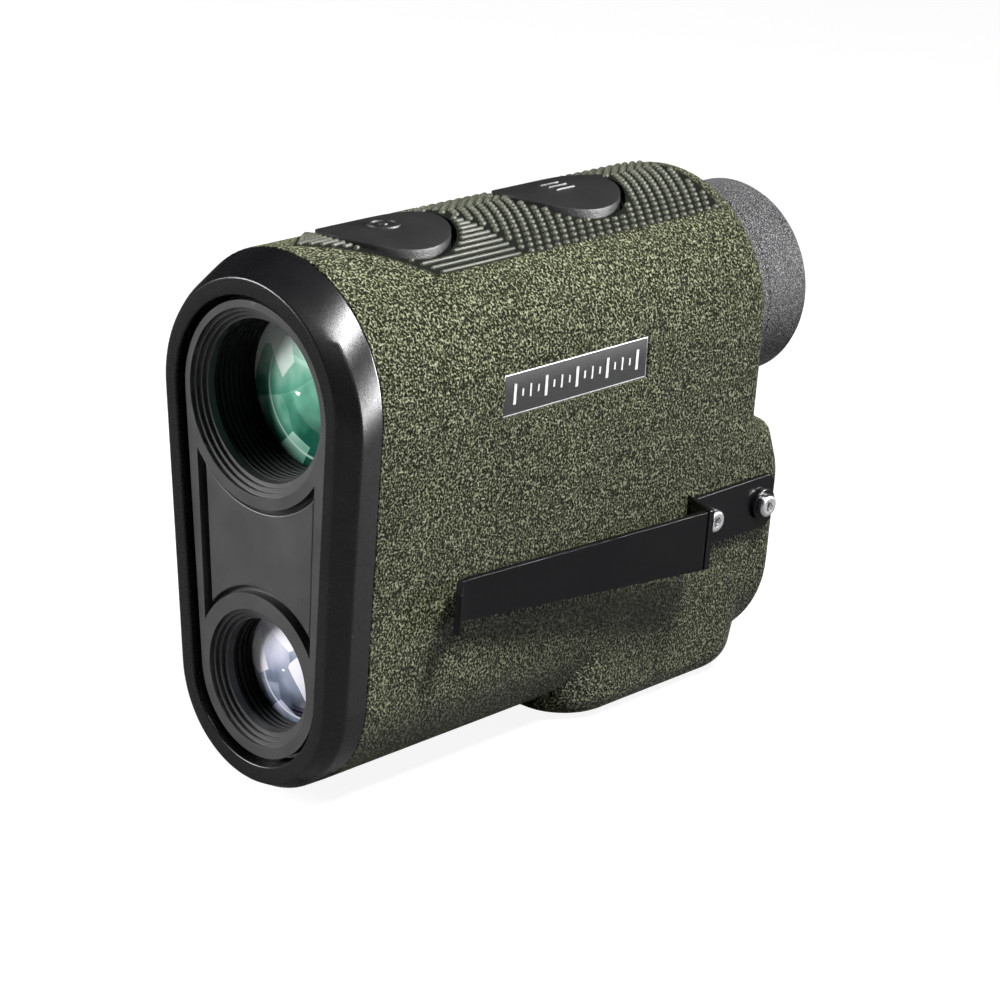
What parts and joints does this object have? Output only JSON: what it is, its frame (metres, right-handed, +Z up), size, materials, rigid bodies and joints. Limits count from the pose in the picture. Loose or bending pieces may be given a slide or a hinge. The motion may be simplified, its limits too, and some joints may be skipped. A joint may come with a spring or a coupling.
{
  "type": "laser rangefinder",
  "caption": "Hand-held laser rangefinder: rubber-armoured upright body, stacked viewing and laser lenses, eyepiece, top buttons and a belt clip.",
  "frame": {"origin": "middle of the flat face of the foot under the rear half of the body, on the body's mid-plane", "axes": "+Z up; -Y is the way the objective and laser windows look, +Y is the eyepiece end; +X is the side that carries the belt clip and the badge (the user's left)"},
  "size_m": [0.0435, 0.1003, 0.0774],
  "materials": {
    "armor_rubber": "matte",
    "shell_plastic": "matte",
    "bezel_plastic": "satin",
    "badge_metal": "satin",
    "button_plastic": "matte",
    "gasket_rubber": "matte",
    "cup_rubber": "matte",
    "black_aluminium": "matte",
    "objective_glass": "polished",
    "emitter_glass": "polished",
    "clear_glass": "polished",
    "clip_steel": "satin",
    "screw_steel": "polished",
    "insert_brass": "satin",
    "circuit_board": "satin",
    "chip_plastic": "matte",
    "can_metal": "satin",
    "battery_tube_plastic": "satin",
    "battery_label": "gloss",
    "contact_metal": "satin",
    "cap_plastic": "satin"
  },
  "bodies": {
    "housing": {"rubber_armor": "armor_rubber", "left_shell": "shell_plastic", "right_shell": "shell_plastic", "prism_cage": "shell_plastic", "display_frame": "shell_plastic", "front_bezel": "bezel_plastic", "face_plate": "bezel_plastic", "centre_panel": "bezel_plastic", "badge_plate": "badge_metal", "front_gasket": "gasket_rubber", "objective_oring": "gasket_rubber", "emitter_oring": "gasket_rubber", "eyepiece_oring": "gasket_rubber", "objective_tube": "black_aluminium", "objective_retainer": "black_aluminium", "emitter_tube": "black_aluminium", "emitter_retainer": "black_aluminium", "eyepiece_tube": "black_aluminium", "objective_lens": "objective_glass", "emitter_lens": "emitter_glass", "prism_front": "clear_glass", "prism_rear": "clear_glass", "display_glass": "clear_glass", "clip_base": "clip_steel", "clip_washer": "clip_steel", "clip_screws": "screw_steel", "chassis_screws": "screw_steel", "bezel_screws": "screw_steel", "clip_inserts": "insert_brass", "spare_inserts": "insert_brass", "main_board": "circuit_board", "button_board": "circuit_board", "laser_board": "circuit_board", "ribbon_cable": "circuit_board", "board_chips": "chip_plastic", "button_switches": "chip_plastic", "laser_diode": "can_metal", "light_detector": "can_metal", "battery_tube": "battery_tube_plastic", "battery": "battery_label", "battery_contact": "contact_metal"},
    "front_button": {"front_button": "button_plastic"},
    "rear_button": {"rear_button": "button_plastic"},
    "diopter": {"diopter_ring": "black_aluminium", "eyecup": "cup_rubber"},
    "ocular": {"ocular_cell": "shell_plastic", "ocular_lens_front": "clear_glass", "ocular_lens_rear": "clear_glass", "ocular_retainers": "shell_plastic"},
    "cap_carrier": {"battery_spring": "contact_metal"},
    "battery_cap": {"battery_cap": "cap_plastic", "battery_cap_seal": "gasket_rubber"},
    "clip_arm": {"clip_arm": "clip_steel"}
  },
  "joints": [
    {"name": "front_button_press", "type": "slide", "parent": "housing", "child": "front_button", "axis": [0, 0, -1], "range_m": [0, 0.0008], "stiffness_N_per_m": 800, "springref_m": -0.0003},
    {"name": "rear_button_press", "type": "slide", "parent": "housing", "child": "rear_button", "axis": [0, 0, -1], "range_m": [0, 0.0008], "stiffness_N_per_m": 800, "springref_m": -0.0003},
    {"name": "diopter_turn", "type": "hinge", "parent": "housing", "child": "diopter", "pos_m": [0, 0.02385, 0.0574], "axis": [0, 1, 0], "range_deg": [-120, 120]},
    {"name": "ocular_focus", "type": "slide", "parent": "housing", "child": "ocular", "axis": [0, 1, 0], "range_m": [-0.0012, 0.0012]},
    {"name": "battery_cap_advance", "type": "slide", "parent": "housing", "child": "cap_carrier", "axis": [0, 1, 0], "range_m": [0, 0.003]},
    {"name": "battery_cap_turn", "type": "hinge", "parent": "cap_carrier", "child": "battery_cap", "pos_m": [0, 0.02285, 0.0226], "axis": [0, 1, 0], "range_deg": [0, 1080]},
    {"name": "clip_flex", "type": "hinge", "parent": "housing", "child": "clip_arm", "pos_m": [0.02297, -0.00135, 0.02707], "axis": [0.0769, 0, 0.997], "range_deg": [0, 5], "stiffness_Nm_per_rad": 5}
  ],
  "couplings": [
    {"joint": "diopter_turn", "follows": "ocular_focus", "rad_per_m": 1745.3},
    {"joint": "battery_cap_turn", "follows": "battery_cap_advance", "rad_per_m": 6283.2}
  ]
}
